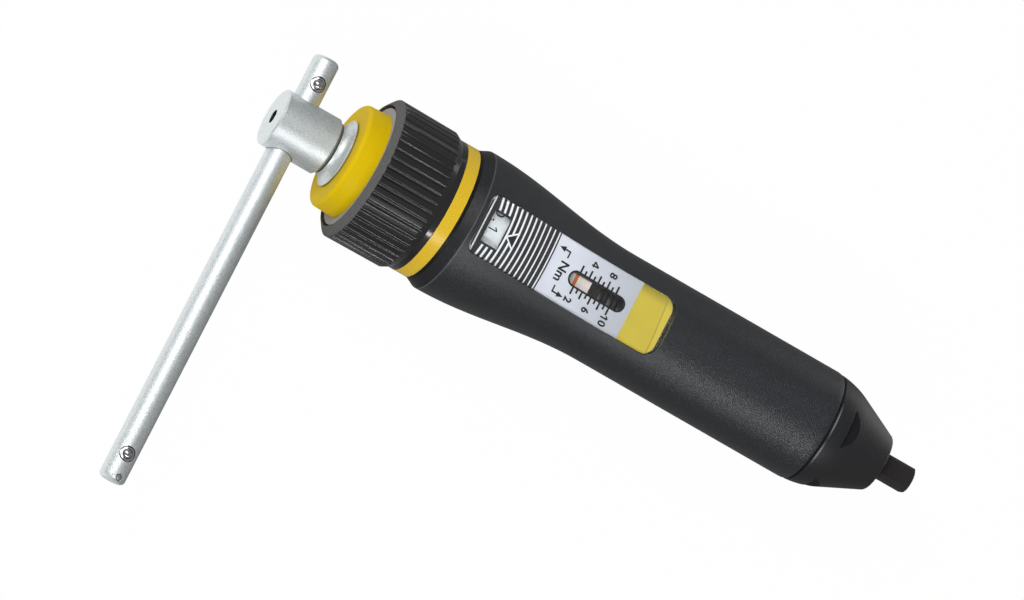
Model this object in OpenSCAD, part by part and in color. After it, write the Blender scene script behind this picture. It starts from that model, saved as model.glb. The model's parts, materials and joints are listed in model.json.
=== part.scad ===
// Torque screwdriver with a setting knob, a slip clutch and a sliding T-bar handle.
// The tool lies along X: the drive tip is at the origin and the handle end is at +X.
// +Z is the way the scale faces, and +Y is the long arm of the T-bar.

/* [Drive and nose] */
// Square drive, across its flats
drive_af = 6.35; // [5.5:0.05:7]
// Length of the square in front of the nose
drive_len = 9.6; // [8:0.1:14]
// Turned chamfer on the end of the square
drive_chamfer = 0.4; // [0.3:0.1:1.2]
// Radius of the nose's front face
nose_front_r = 7.8; // [6.8:0.1:8.5]
// Radius where the cone meets the shoulder
nose_cone_r = 13; // [12.4:0.1:13.2]
// Length of the cone
nose_cone_len = 11.5; // [10:0.1:14]
// Length of the rounded shoulder behind the cone
nose_shoulder_len = 7.6; // [6.2:0.1:9]
// Distance of the four spanner flats from the axis
flat_dist = 13; // [12.2:0.1:13.2]
// Length of a spanner flat's level part behind the cone
flat_run = 2.9; // [1.5:0.1:4]
// Turn of the spanner flats against the scale
flat_turn = 7; // [0:1:44]

/* [Grip] */
// Radius of the straight grip
grip_r = 15.1; // [14.6:0.1:16.5]
// Length of the straight grip
grip_len = 62; // [58:0.5:80]
// Length over which the grip swells to the rear
swell_len = 46; // [40:0.5:50]
// Radius of the swollen rear end
rear_r = 19.6; // [19.2:0.1:21]
// Length of the bevelled rear lip
lip_len = 2.9; // [2:0.1:4]
// Radius of the long bore
bore_r = 10.9; // [10.8:0.05:11.1]

/* [Scale window] */
// Width of the window
window_w = 16; // [14:0.1:16.5]
// Length of the window
window_len = 57; // [54:0.1:58]
// Corner radius at the handle end
window_corner_rear = 2; // [1:0.1:4]
// Corner radius at the drive end
window_corner_front = 3.5; // [1:0.1:5]
// Thickness of the clear lens
lens_t = 1; // [0.6:0.05:1.1]
// Thickness of the printed plate under it
label_t = 0.3; // [0.2:0.05:0.4]
// Height of the lens above the grip along its long edges
lens_rise = 0.2; // [0:0.05:0.5]
// Length of the digit window
digit_len = 4.9; // [4:0.1:6]
// Width of the digit window
digit_w = 8.4; // [6:0.1:9]
// Length of the scale slot
slot_len = 16.2; // [16:0.1:18]
// Width of the scale slot
slot_w = 3.3; // [3:0.1:4.5]

/* [Setting knob] */
// Number of ribs round the knob
rib_count = 48; // [36:2:60]
// How far the ribs lie below the grip's rear radius
rib_set = 0.05; // [0:0.05:0.5]
// Width of the groove between two ribs
rib_gap = 1.1; // [0.8:0.05:1.4]
// Length of the ribbed grip
rib_len = 15.8; // [12:0.1:20]
// How far the smooth neck and the coloured band lie below it
neck_drop = 1.3; // [1:0.1:1.7]
// Width of the coloured band
band_w = 3.55; // [2.5:0.05:4.5]
// Length of the smooth neck behind the band
neck_len = 1.6; // [1.4:0.1:4]
// Wall of the knob from its ribs to its open rear
knob_wall = 2.3; // [2.05:0.05:2.45]
// Thickness of the knob's web
web_t = 4; // [3:0.1:5]
// Number of locking holes in the web
lock_holes = 20; // [16:4:20]
// Lead of the setting thread, one turn of the knob
lead = 2.75; // [2:0.05:3]

/* [Lock] */
// Radius of the lock ring
lock_r = 14.6; // [14:0.1:15.5]
// Length of the lock ring
lock_len = 6.2; // [5:0.1:8]
// Radius of its rear edge
lock_round = 1.2; // [0.5:0.1:2]
// Travel of the lock
lock_travel = 3; // [2:0.1:3.2]

/* [T-handle] */
// Radius of the hub
hub_r = 7.75; // [7:0.05:9]
// Length of the hub
hub_len = 16.5; // [14:0.1:22]
// Distance from the hub's rear face to the bar's axis
bar_set = 5.8; // [5.2:0.1:6.6]
// Radius of the bar
bar_r = 3.5; // [3.2:0.05:4]
// Length of the bar
bar_len = 120; // [100:1:160]
// Length of the short arm in the rest pose
bar_short = 19.5; // [17:0.1:24]
// Distance of a stop ball from the bar's end
ball_inset = 7.4; // [6:0.1:9]
// Radius of a stop ball
stop_ball_r = 1.5; // [1.3:0.05:1.6]

/* [Clutch and spring] */
// Radius of a clutch ball
clutch_ball_r = 2; // [1.8:0.05:2.1]
// Number of clutch balls
clutch_ball_count = 6; // [4:1:6]
// Radius of the circle that the balls sit on
clutch_pitch_r = 8; // [7.7:0.05:8.1]
// Wire of the main spring
spring_wire = 1.8; // [1.4:0.1:1.8]
// Turns of the main spring
spring_turns = 10; // [7:1:12]

/* [Fits] */
// Radial gap of a running fit
run_fit = 0.05; // [0.02:0.01:0.08]
// Radial gap of a fixed fit
seat_fit = 0.02; // [0.01:0.01:0.04]
// Gap between faces that pass each other
pass_gap = 0.15; // [0.1:0.01:0.2]

/* [Hidden] */
$fn = 96;
far = 60;
past = 1;

// Stations along the axis, from the drive tip to the handle
x_nose = drive_len;
x_shoulder = x_nose + nose_cone_len;
x_seam = x_shoulder + nose_shoulder_len;
x_swell = x_seam + grip_len;
x_lip = x_swell + swell_len;
x_rear = x_lip + lip_len;
neck_r = rear_r - neck_drop;
rib_r = rear_r - rib_set;
cup_r = rib_r - knob_wall;
ring_flange_t = 0.8;
x_band = x_rear + ring_flange_t + pass_gap;
x_neck = x_band + band_w;
x_rib = x_neck + neck_len;
rib_lead_in = 2;
x_rib_end = x_rib + rib_lead_in + rib_len;
rib_taper = 0.2;
rim_len = 1.6;
rim_edge = 0.3;
x_rim = x_rib_end + rim_len;

// Nose cap inside
journal_r = 4.95;
bush_r = 6.2;
bush_flange_r = 8.5;
bush_flange_t = 2;
x_bush = x_nose + 0.5;
x_bush_flange = x_seam - bush_flange_t;
washer_t = 1.9;
flange_r = clutch_pitch_r + 2.6;
flange_t = 5;
x_flange = x_seam + washer_t + pass_gap / 2;
x_flange_end = x_flange + flange_t;
cavity_r = flange_r + 0.4;
spigot_r = cavity_r + 1.6;
shoulder_r = grip_r - 0.55;
nose_rear_r = grip_r - 0.2;
seam_edge = 0.15;
shoulder_slope = 0.09;

// Clutch: a ball lies in a cone whose wall rises at ramp degrees
ramp = 30;
cone_rim_r = clutch_ball_r + 0.4;
cone_depth = cone_rim_r * tan(ramp);
ball_lift = (clutch_ball_r + run_fit) / cos(ramp) - cone_depth;
x_ball = x_flange_end + ball_lift;
plate_gap = 1.5;
plate_t = 5;
x_plate = x_flange_end + plate_gap;
x_plate_end = x_plate + plate_t;
plate_r = flange_r;
lug_r = spigot_r - 0.4;
lug_w = 4;
lug_len = 4;
plate_lift = 1;
x_spigot_end = x_plate_end + plate_lift + 0.5;
core_hex_af = 7.6;
core_r = 4.5;
pilot_r = 2.4;
pilot_len = 5;
hex_len = 12;

// Rear of the housing
x_mouth = x_lip - 0.5;
drum_len = 8.4;
drum_gap = 1.1;
x_drum_end = x_mouth - drum_gap;
x_drum = x_drum_end - drum_len;
drum_r = neck_r - 2.8;
drum_cavity_r = drum_r + 0.3;
x_cavity = x_drum - 0.4;
mouth_r = neck_r - 1.4;
sleeve_seat_r = drum_r * 0.775;
sleeve_journal_r = sleeve_seat_r - 1;

// Scale window
half_w = window_w / 2;
x_window_end = x_lip - 1.5;
x_window = x_window_end - window_len;
digit_set = 2.4;
x_digit = x_window_end - digit_set - digit_len;
slot_set = 28.3;
x_slot = x_window_end - slot_set - slot_len;

// Knob inside
x_web = x_rib + 1;
x_web_end = x_web + web_t;
hub_wall_r = sleeve_journal_r + 2.2;
band_seat_r = neck_r - 1.5;
front_cup_r = band_seat_r - 1;
lock_pin_r = 1.2;
lock_hole_r = lock_pin_r + pass_gap;
lock_pitch_r = cup_r - lock_hole_r - 1;
lock_pin_count = 4;
screw_pitch_r = sleeve_journal_r * 0.78;
screw_r = 1.5;
screw_head_r = 2.5;
screw_head_t = 2.4;
screw_depth = 7;
screw_count = 3;

// Setting thread and nut
sleeve_r = 8;
nut_r = bore_r - 0.4;
nut_len = 10;
turns_full = 4;
nut_travel = lead * turns_full;
pointer_len = 6.2;
pointer_w = slot_w - 0.3;
pointer_top = 11.55;
pointer_seat = 9.9;
line_w = 0.95;
line_set = 2;
line_t = 0.25;
x_pointer_end = x_slot + slot_len - 0.2;
x_pointer = x_pointer_end - pointer_len;
x_nut_end = x_pointer_end + 0.6;
x_nut = x_nut_end - nut_len;
x_sleeve = x_nut - nut_travel - 2;
circlip_t = 1;
circlip_r = 6.5;
groove_r = 4;

// Lock and core rear
disc_t = 2;
disc_set = 0.5;
x_disc_end = x_rim - disc_set;
x_disc = x_disc_end - disc_t;
disc_r = cup_r - 0.6;
x_lock_end = x_disc_end + lock_len;
x_pin = x_web_end + 0.5;
core_head_af = 13;
core_step_r = screw_pitch_r - screw_head_r - 0.3;
x_core_step = x_web_end + 0.3;
x_core_head = x_disc - lock_travel - 1;
x_collar = x_lock_end + 0.1;
collar_r = 9.25;
collar_small_r = 7;
collar_len = 2.9;
x_collar_end = x_collar + collar_len;
spigot_rear_r = 5.6;
plug_len = 10.2;
socket_extra = 1;
socket_af = drive_af + 2 * run_fit;

// T-handle
x_hub = x_collar_end + 0.25;
x_hub_end = x_hub + hub_len;
x_bar = x_hub_end - bar_set;
hub_front_chamfer = 1;
hub_rear_chamfer = 0.4;
centre_hole_r = 1.9;
bar_round = 1.2;
y_bar = -bar_short;
y_bar_end = y_bar + bar_len;
plunger_r = 1.95;
plunger_floor = -1.8;
plunger_lip_z = bar_r - 0.05;
ball_proud = 0.75;
z_stop_ball = plunger_lip_z + ball_proud - stop_ball_r;
ball_hole_r = stop_ball_r + run_fit;
ball_lip_gap = 0.07;
lip_r = sqrt(stop_ball_r * stop_ball_r - pow(plunger_lip_z - z_stop_ball, 2)) + ball_lip_gap;
drive_ball_r = 1;
drive_ball_proud = 0.5;
x_drive_ball = drive_len / 2;
z_drive_face = drive_af / 2;
z_drive_ball = z_drive_face + drive_ball_proud - drive_ball_r;
drive_hole_depth = 3.7;
drive_lip_r = sqrt(drive_ball_r * drive_ball_r - pow(z_drive_face - z_drive_ball, 2)) + ball_lip_gap;

// Outer radius of the grip at a station
function grip_radius(x) =
    x < x_swell ? grip_r :
    x > x_lip ? rear_r :
    grip_r + (rear_r - grip_r) * (1 - cos(180 * (x - x_swell) / swell_len)) / 2;

// Height of the lens: level across, and along the long edges it follows the grip
function lens_z(x) = sqrt(pow(grip_radius(x), 2) - half_w * half_w) + lens_rise;

// Point on a curve that leaves a towards b and arrives at c from b
function bend(a, b, c, t) = (1 - t) * (1 - t) * a + 2 * t * (1 - t) * b + t * t * c;

// Solid turned about the X axis from points [radius, station]
module turned(points) {
    rotate([0, 90, 0])
        rotate_extrude()
            polygon(points);
}

// Plain rod along X
module rod(x0, x1, r) {
    translate([x0, 0, 0])
        rotate([0, 90, 0])
            cylinder(h = x1 - x0, r = r);
}

// Plain ring along X
module ring(x0, x1, r_in, r_out) {
    difference() {
        rod(x0, x1, r_out);
        rod(x0 - past, x1 + past, r_in);
    }
}

// Hexagonal bar along X, by its width across flats
module hex_bar(x0, x1, af) {
    translate([x0, 0, 0])
        rotate([0, 90, 0])
            cylinder(h = x1 - x0, r = af / sqrt(3), $fn = 6);
}

// Square bar along X, by its width across flats
module square_bar(x0, x1, af) {
    translate([x0, -af / 2, -af / 2])
        cube([x1 - x0, af, af]);
}

// Copies placed round the X axis
module around(count, start = 0) {
    for (i = [0:count - 1])
        rotate([start + i * 360 / count, 0, 0])
            children();
}

// Plan of the scale window, grown by a margin
module window_plan(grow) {
    x0 = x_window - grow;
    x1 = x_window_end + grow;
    w = half_w + grow;
    front = window_corner_front + grow;
    rear = window_corner_rear + grow;
    translate([x0 + front, -w])
        square([x1 - x0 - front - rear, 2 * w]);
    translate([x0, -w + front])
        square([front + past, 2 * (w - front)]);
    translate([x1 - rear - past, -w + rear])
        square([rear + past, 2 * (w - rear)]);
    for (side = [-1, 1]) {
        translate([x0 + front, side * (w - front)])
            circle(front);
        translate([x1 - rear, side * (w - rear)])
            circle(rear);
    }
}

// Slab under the lens surface, between two depths below it
module window_slab(depth_low, depth_high, grow) {
    steps = 28;
    reach = 2;
    xs = [for (i = [0:steps]) x_window - reach + (window_len + 2 * reach) * i / steps];
    intersection() {
        linear_extrude(far)
            window_plan(grow);
        translate([0, far, 0])
            rotate([90, 0, 0])
                linear_extrude(2 * far)
                    polygon(concat(
                        [for (x = xs) [x, lens_z(x) - depth_low]],
                        [for (i = [steps:-1:0]) [xs[i], lens_z(xs[i]) - depth_high]]));
    }
}

// Round-ended slot through the scale, grown by a margin
module scale_slot(grow) {
    w = slot_w + 2 * grow;
    linear_extrude(far) {
        translate([x_slot + slot_w / 2, -w / 2])
            square([slot_len - slot_w, w]);
        for (x = [x_slot + slot_w / 2, x_slot + slot_len - slot_w / 2])
            translate([x, 0])
                circle(w / 2);
    }
}

// Opening in front of the digits, grown by a margin
module digit_window(grow) {
    translate([x_digit - grow, -digit_w / 2 - grow, 0])
        cube([digit_len + 2 * grow, digit_w + 2 * grow, far]);
}

// Coil along +Z: wire swept round a helix whose end turns close up
module coil(length, mean_r, wire_r, turns, sides = 8, per_turn = 14) {
    rings = turns * per_turn;
    close = 0.55;
    function rise(t) = wire_r + (length - 2 * wire_r) * (t - close * sin(360 * t) / (2 * PI));
    points = [for (i = [0:rings], j = [0:sides - 1])
        let (t = i / rings, a = 360 * turns * t, b = 360 * j / sides, r = mean_r + wire_r * cos(b))
            [r * cos(a), r * sin(a), rise(t) + wire_r * sin(b)]];
    walls = [for (i = [0:rings - 1], j = [0:sides - 1])
        let (k = (j + 1) % sides, p = i * sides, q = p + sides)
            each [[p + j, q + j, q + k], [p + j, q + k, p + k]]];
    first = [for (j = [0:sides - 1]) j];
    last = [for (j = [sides - 1:-1:0]) rings * sides + j];
    polyhedron(points, concat(walls, [first], [last]));
}

// Moulded grip with its window pocket and bores
module housing() {
    edge = grip_r - shoulder_r;
    swell_steps = 28;
    arc_steps = 8;
    // Lip: share of its length and of its drop
    lip_shares = [[0.08, 0.02], [0.16, 0.09], [1, 1]];
    color("#323337")
        difference() {
            turned(concat(
                [[bore_r, x_seam], [shoulder_r, x_seam]],
                [for (i = [1:arc_steps]) let (a = 90 * i / arc_steps)
                    [shoulder_r + edge * sin(a), x_seam + 2 * (1 - cos(a))]],
                [for (i = [0:swell_steps]) let (x = x_swell + swell_len * i / swell_steps)
                    [grip_radius(x), x]],
                [for (p = lip_shares) [rear_r - neck_drop * p.y, x_lip + lip_len * p.x]],
                [[bore_r, x_rear]]));
            rod(x_seam - past, x_spigot_end, spigot_r + seat_fit);
            rod(x_cavity, x_rear + past, drum_cavity_r);
            rod(x_mouth, x_rear + past, mouth_r + seat_fit);
            window_slab(lens_t + label_t + seat_fit, -far / 2, pass_gap);
            translate([x_slot - 1.5, -slot_w / 2, 0])
                cube([slot_len + 3, slot_w, far]);
            digit_window(0.3);
        }
}

// Conical nose with four spanner flats and a slotted spigot that guides the pressure plate
module nose_cap() {
    cone_slope = (nose_cone_r - nose_front_r) / nose_cone_len;
    a = [nose_cone_r, x_shoulder];
    c = [nose_rear_r, x_seam - seam_edge];
    x_b = (c.x - a.x + cone_slope * a.y - shoulder_slope * c.y) / (cone_slope - shoulder_slope);
    b = [a.x + cone_slope * (x_b - a.y), x_b];
    bend_steps = 8;
    front_edge = 0.35;
    color("#2e2f33")
        difference() {
            turned(concat(
                [[nose_front_r - front_edge, x_nose], [nose_front_r, x_nose + front_edge]],
                [for (i = [0:bend_steps]) bend(a, b, c, i / bend_steps)],
                [[nose_rear_r - seam_edge, x_seam], [spigot_r, x_seam], [spigot_r, x_spigot_end],
                    [cavity_r, x_spigot_end], [cavity_r, x_seam], [bush_flange_r + seat_fit, x_seam],
                    [bush_flange_r + seat_fit, x_bush_flange], [bush_r + seat_fit, x_bush_flange],
                    [bush_r + seat_fit, x_bush], [journal_r + 0.3, x_bush], [journal_r + 0.3, x_nose]]));
            around(4, flat_turn)
                translate([x_nose - past, -far / 2, flat_dist])
                    cube([nose_cone_len + flat_run + past, far, far]);
            around(2, 90)
                translate([x_plate - 0.5, -lug_w / 2 - pass_gap, 0])
                    cube([far, lug_w + 2 * pass_gap, far]);
        }
}

// Flanged bronze bearing in the nose
module front_bush() {
    color("#a8804a")
        difference() {
            union() {
                rod(x_bush, x_seam, bush_r);
                rod(x_bush_flange, x_seam, bush_flange_r);
            }
            rod(x_bush - past, x_seam + past, journal_r + run_fit);
        }
}

// Washer that takes the drive flange's thrust
module thrust_washer() {
    color("#b9bbc0")
        ring(x_seam, x_seam + washer_t, journal_r + 2 * run_fit, flange_r - 0.6);
}

// Shaft from the clutch to the handle socket
module core_shaft() {
    x_hex = x_flange_end + 0.4;
    x_groove = x_sleeve - 0.2 - circlip_t;
    color("#9b9da1")
        difference() {
            union() {
                rod(x_flange_end - pilot_len, x_hex, pilot_r);
                hex_bar(x_hex, x_hex + hex_len, core_hex_af);
                rod(x_hex + hex_len, x_core_step, core_r);
                rod(x_core_step, x_core_head, core_step_r);
                hex_bar(x_core_head, x_collar, core_head_af);
                rod(x_collar, x_collar_end, spigot_rear_r);
            }
            ring(x_groove, x_groove + circlip_t, groove_r, far / 2);
            square_bar(x_hub - plug_len - socket_extra, x_collar_end + past, socket_af);
        }
}

// Spring clip in the core shaft's groove
module core_circlip() {
    x_groove = x_sleeve - 0.2 - circlip_t;
    gap_w = 3;
    color("#5c5e62")
        difference() {
            ring(x_groove, x_groove + circlip_t, groove_r, circlip_r);
            translate([x_groove - past, -gap_w / 2, 0])
                cube([circlip_t + 2 * past, gap_w, far]);
        }
}

// Flared collar round the mouth of the handle socket
module socket_collar() {
    steps = 8;
    a = [collar_r, x_collar + 0.5];
    b = [collar_small_r, x_collar + 1.1];
    c = [collar_small_r, x_collar_end];
    color("#d4d5d8")
        turned(concat(
            [[spigot_rear_r + seat_fit, x_collar], [collar_r, x_collar]],
            [for (i = [0:steps]) bend(a, b, c, i / steps)],
            [[spigot_rear_r + seat_fit, x_collar_end]]));
}

// Ring screwed into the grip's mouth, which keeps the setting sleeve in
module ring_nut() {
    color("#202124")
        difference() {
            union() {
                rod(x_mouth, x_rear, mouth_r);
                rod(x_rear, x_rear + ring_flange_t, neck_r);
            }
            rod(x_mouth - past, x_band, sleeve_journal_r + run_fit);
        }
}

// Washer between the setting sleeve and the ring nut
module knob_thrust_washer() {
    color("#b08a4e")
        ring(x_drum_end + 0.05, x_mouth - 0.05, sleeve_journal_r + 2 * run_fit, drum_r - 0.5);
}

// Printed scale plate under the lens
module scale_label() {
    color("#cdd2dc")
        difference() {
            window_slab(lens_t + label_t, lens_t, 0);
            scale_slot(0);
            digit_window(0);
        }
}

// Clear lens over the scale
module scale_lens() {
    color("#e6eef2", 0.35)
        window_slab(lens_t, 0, 0);
}

// Main compression spring between the pressure plate and the adjusting nut
module main_spring() {
    color("#8b8d92")
        translate([x_plate_end, 0, 0])
            rotate([0, 90, 0])
                coil(x_nut - x_plate_end, sleeve_r + 0.3 + spring_wire / 2, spring_wire / 2, spring_turns);
}

// Square drive with its journal and the ramped clutch flange
module drive_spindle() {
    tip_r = drive_af / 2;
    color("#24211f")
        difference() {
            union() {
                intersection() {
                    square_bar(0, x_bush + past, drive_af);
                    turned([[0, 0], [tip_r - drive_chamfer / 4, 0],
                        [tip_r + drive_chamfer * 2, drive_chamfer * 1.3],
                        [tip_r + drive_chamfer * 2, x_bush + past], [0, x_bush + past]]);
                }
                rod(x_nose - 0.2, x_flange, journal_r);
                rod(x_flange, x_flange_end, flange_r);
            }
            rod(x_flange_end - pilot_len - 0.5, x_flange_end + past, pilot_r + run_fit);
            around(clutch_ball_count)
                translate([x_flange_end - cone_depth, 0, clutch_pitch_r])
                    rotate([0, 90, 0])
                        cylinder(h = cone_depth, r1 = 0, r2 = cone_rim_r);
            translate([x_drive_ball, 0, -z_drive_ball])
                cylinder(h = drive_hole_depth - drive_af / 2 + z_drive_ball, r = drive_ball_r + run_fit);
            translate([x_drive_ball, 0, -z_drive_face])
                cylinder(h = z_drive_face - z_drive_ball, r1 = drive_lip_r, r2 = drive_ball_r + run_fit);
        }
}

// Detent ball in the underside of the drive
module drive_ball() {
    color("#8f9196")
        translate([x_drive_ball, 0, -z_drive_ball])
            sphere(drive_ball_r);
}

// Spring behind the drive's detent ball
module drive_ball_spring() {
    z_low = -z_drive_ball + drive_ball_r;
    z_high = drive_hole_depth - drive_af / 2;
    color("#8b8d92")
        translate([x_drive_ball, 0, z_low])
            coil(z_high - z_low, 0.7, 0.15, 4, 6, 10);
}

// Plate that the main spring pushes on the clutch balls
module pressure_plate() {
    color("#77797e")
        difference() {
            union() {
                rod(x_plate, x_plate_end, plate_r);
                intersection() {
                    rod(x_plate, x_plate + lug_len, lug_r);
                    translate([x_plate, -far / 2, -lug_w / 2])
                        cube([lug_len, far, lug_w]);
                }
            }
            hex_bar(x_plate - past, x_plate_end + past, core_hex_af + 2 * run_fit);
            around(clutch_ball_count)
                translate([x_ball, 0, clutch_pitch_r])
                    sphere(clutch_ball_r + seat_fit);
        }
}

// Ring of steel balls between the plate and the drive flange
module clutch_balls() {
    color("#c9cbd0")
        around(clutch_ball_count)
            translate([x_ball, 0, clutch_pitch_r])
                sphere(clutch_ball_r);
}

// Nut that the setting sleeve moves along the bore
module adjusting_nut() {
    color("#b39352")
        difference() {
            rod(x_nut, x_nut_end, nut_r);
            rod(x_nut - past, x_nut_end + past, sleeve_r + run_fit);
            translate([x_pointer - seat_fit, -pointer_w / 2 - seat_fit, pointer_seat])
                cube([pointer_len + 2 * seat_fit, pointer_w + 2 * seat_fit, far]);
        }
}

// Pale pointer on the nut, which also keys it in the grip's slot
module pointer_plate() {
    color("#e6dcd7")
        difference() {
            translate([x_pointer, -pointer_w / 2, pointer_seat])
                cube([pointer_len, pointer_w, pointer_top - pointer_seat]);
            translate([x_pointer_end - line_set - line_w / 2, -far / 2, pointer_top - line_t])
                cube([line_w, far, far]);
        }
}

// Coloured line across the pointer
module pointer_line() {
    color("#c86914")
        translate([x_pointer_end - line_set - line_w / 2, -pointer_w / 2, pointer_top - line_t])
            cube([line_w, pointer_w, line_t]);
}

// Ribbed setting knob, open at the rear, with locking holes in its web
module knob() {
    x_groove = x_rib + rib_lead_in * 0.5;
    color("#2d2e32")
        difference() {
            turned([[sleeve_journal_r + seat_fit, x_band], [band_seat_r, x_band], [band_seat_r, x_neck],
                [neck_r, x_neck], [neck_r, x_rib], [rib_r - rib_taper, x_rib + rib_lead_in],
                [rib_r, x_rib_end], [rib_r - rim_edge, x_rib_end + rim_edge], [cup_r + rim_edge, x_rim],
                [cup_r, x_rim], [cup_r, x_web_end], [core_step_r, x_web_end], [core_step_r, x_web],
                [sleeve_journal_r + seat_fit, x_web]]);
            around(rib_count)
                translate([x_groove, 0, rib_r])
                    rotate([0, 90, 0])
                        cylinder(h = x_rib_end - x_groove, r = rib_gap / 2);
            ring(x_band - past, x_web - 1.5, hub_wall_r, front_cup_r);
            around(lock_holes)
                translate([x_web - past, 0, lock_pitch_r])
                    rotate([0, 90, 0])
                        cylinder(h = web_t + 2 * past, r = lock_hole_r);
            around(screw_count)
                translate([x_web - past, 0, screw_pitch_r])
                    rotate([0, 90, 0])
                        cylinder(h = web_t + 2 * past, r = screw_r + 0.1);
        }
}

// Coloured band round the knob's front
module knob_band() {
    color("#dbb42e")
        ring(x_band, x_neck, band_seat_r, neck_r);
}

// Threaded sleeve that the knob turns round the core shaft
module lead_sleeve() {
    color("#a2a4a8")
        difference() {
            union() {
                rod(x_sleeve, x_drum, sleeve_r);
                rod(x_drum, x_drum_end, sleeve_seat_r);
                rod(x_drum_end, x_web, sleeve_journal_r);
            }
            rod(x_sleeve - past, x_web + past, core_r + run_fit);
            around(screw_count)
                translate([x_web - screw_depth, 0, screw_pitch_r])
                    rotate([0, 90, 0])
                        cylinder(h = screw_depth + past, r = screw_r + seat_fit);
        }
}

// White drum that carries the fine digits
module digit_drum() {
    color("#eceae4")
        ring(x_drum, x_drum_end, sleeve_seat_r, drum_r);
}

// Cap screws that hold the knob to the sleeve
module knob_screws() {
    color("#3a3b3f")
        around(screw_count)
            translate([0, 0, screw_pitch_r])
                difference() {
                    union() {
                        rod(x_web - screw_depth + 0.5, x_web_end, screw_r);
                        rod(x_web_end, x_web_end + screw_head_t, screw_head_r);
                    }
                    hex_bar(x_web_end + screw_head_t * 0.45, x_web_end + far, 2.5);
                }
}

// Yellow lock ring, which slides on the core shaft's hexagon
module lock_ring() {
    draft = 0.2;
    steps = 6;
    centre = [lock_r - draft - lock_round, x_lock_end - lock_round];
    color("#e2bc05")
        difference() {
            turned(concat([[0, x_disc_end], [lock_r, x_disc_end]],
                [for (i = [0:steps]) let (a = 90 * i / steps) centre + lock_round * [cos(a), sin(a)]],
                [[0, x_lock_end]]));
            hex_bar(x_disc_end - past, x_lock_end + past, core_head_af + 2 * run_fit);
        }
}

// Grey disc in the knob's open rear, behind the lock ring
module lock_disc() {
    color("#b9b9be")
        difference() {
            rod(x_disc, x_disc_end, disc_r);
            hex_bar(x_disc - past, x_disc_end + past, core_head_af + 2 * run_fit);
            around(lock_pin_count)
                translate([x_disc - past, 0, lock_pitch_r])
                    rotate([0, 90, 0])
                        cylinder(h = past + disc_t * 0.75, r = lock_pin_r + seat_fit);
        }
}

// Pins that enter the knob's web when the lock is pushed in
module lock_pins() {
    nose = 0.4;
    color("#a7a9ae")
        around(lock_pin_count)
            translate([0, 0, lock_pitch_r])
                turned([[0, x_pin], [lock_pin_r - nose, x_pin], [lock_pin_r, x_pin + nose],
                    [lock_pin_r, x_disc + disc_t * 0.75], [0, x_disc + disc_t * 0.75]]);
}

// Hub of the T-handle with its square plug
module handle_hub() {
    plug_edge = 0.6;
    hole_len = 1.6;
    color("#d6d7da")
        difference() {
            union() {
                turned([[0, x_hub], [hub_r - hub_front_chamfer, x_hub], [hub_r, x_hub + hub_front_chamfer],
                    [hub_r, x_hub_end - hub_rear_chamfer], [hub_r - hub_rear_chamfer, x_hub_end],
                    [0, x_hub_end]]);
                intersection() {
                    square_bar(x_hub - plug_len, x_hub + past, drive_af);
                    turned([[0, x_hub - plug_len], [drive_af / 2, x_hub - plug_len],
                        [drive_af / 2 + 2 * plug_edge, x_hub - plug_len + plug_edge],
                        [drive_af / 2 + 2 * plug_edge, x_hub + past], [0, x_hub + past]]);
                }
            }
            translate([x_bar, -far / 2, 0])
                rotate([-90, 0, 0])
                    cylinder(h = far, r = bar_r + run_fit);
            translate([x_hub_end - hole_len, 0, 0])
                rotate([0, 90, 0])
                    cylinder(h = hole_len + past, r = centre_hole_r);
        }
}

// Sliding bar with a seat for a ball plunger at each end
module t_bar() {
    ys = [y_bar + ball_inset, y_bar_end - ball_inset];
    round_steps = 5;
    function end_round(y, way) = [for (i = [0:round_steps]) let (a = 90 * i / round_steps)
        [bar_r - bar_round + bar_round * sin(a), y + way * bar_round * (1 - cos(a))]];
    low = end_round(y_bar, 1);
    high = end_round(y_bar_end, -1);
    color("#d6d7da")
        translate([x_bar, 0, 0])
            difference() {
                rotate([-90, 0, 0])
                    rotate_extrude()
                        polygon(concat([[0, y_bar]], low, [for (i = [round_steps:-1:0]) high[i]],
                            [[0, y_bar_end]]));
                for (y = ys)
                    translate([0, y, plunger_floor])
                        cylinder(h = far, r = plunger_r + seat_fit);
            }
}

// Crimped sleeve of one ball plunger, with a fine groove round its rim
module plunger_sleeve(y) {
    floor_t = 0.4;
    groove_w = 0.2;
    groove_depth = 1;
    translate([x_bar, y, 0])
        difference() {
            intersection() {
                translate([0, 0, plunger_floor])
                    cylinder(h = plunger_lip_z - plunger_floor, r = plunger_r);
                translate([0, -far / 2, 0])
                    rotate([-90, 0, 0])
                        cylinder(h = far, r = bar_r - 0.01);
            }
            translate([0, 0, plunger_floor + floor_t])
                cylinder(h = z_stop_ball - plunger_floor - floor_t, r = ball_hole_r);
            translate([0, 0, z_stop_ball])
                cylinder(h = plunger_lip_z - z_stop_ball, r1 = ball_hole_r, r2 = lip_r);
            translate([0, 0, plunger_lip_z])
                cylinder(h = past, r = lip_r);
            translate([0, 0, plunger_lip_z - groove_depth])
                difference() {
                    cylinder(h = groove_depth + past, r = plunger_r + past);
                    translate([0, 0, -past])
                        cylinder(h = groove_depth + 3 * past, r = plunger_r - groove_w);
                }
        }
}

// Sleeves of the two ball plungers
module plunger_sleeves() {
    color("#bfc1c5") {
        plunger_sleeve(y_bar + ball_inset);
        plunger_sleeve(y_bar_end - ball_inset);
    }
}

// Stop ball of a plunger
module plunger_ball(y) {
    color("#d9dade")
        translate([x_bar, y, z_stop_ball])
            sphere(stop_ball_r);
}

module plunger_ball_short() {
    plunger_ball(y_bar + ball_inset);
}

module plunger_ball_long() {
    plunger_ball(y_bar_end - ball_inset);
}

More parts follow.
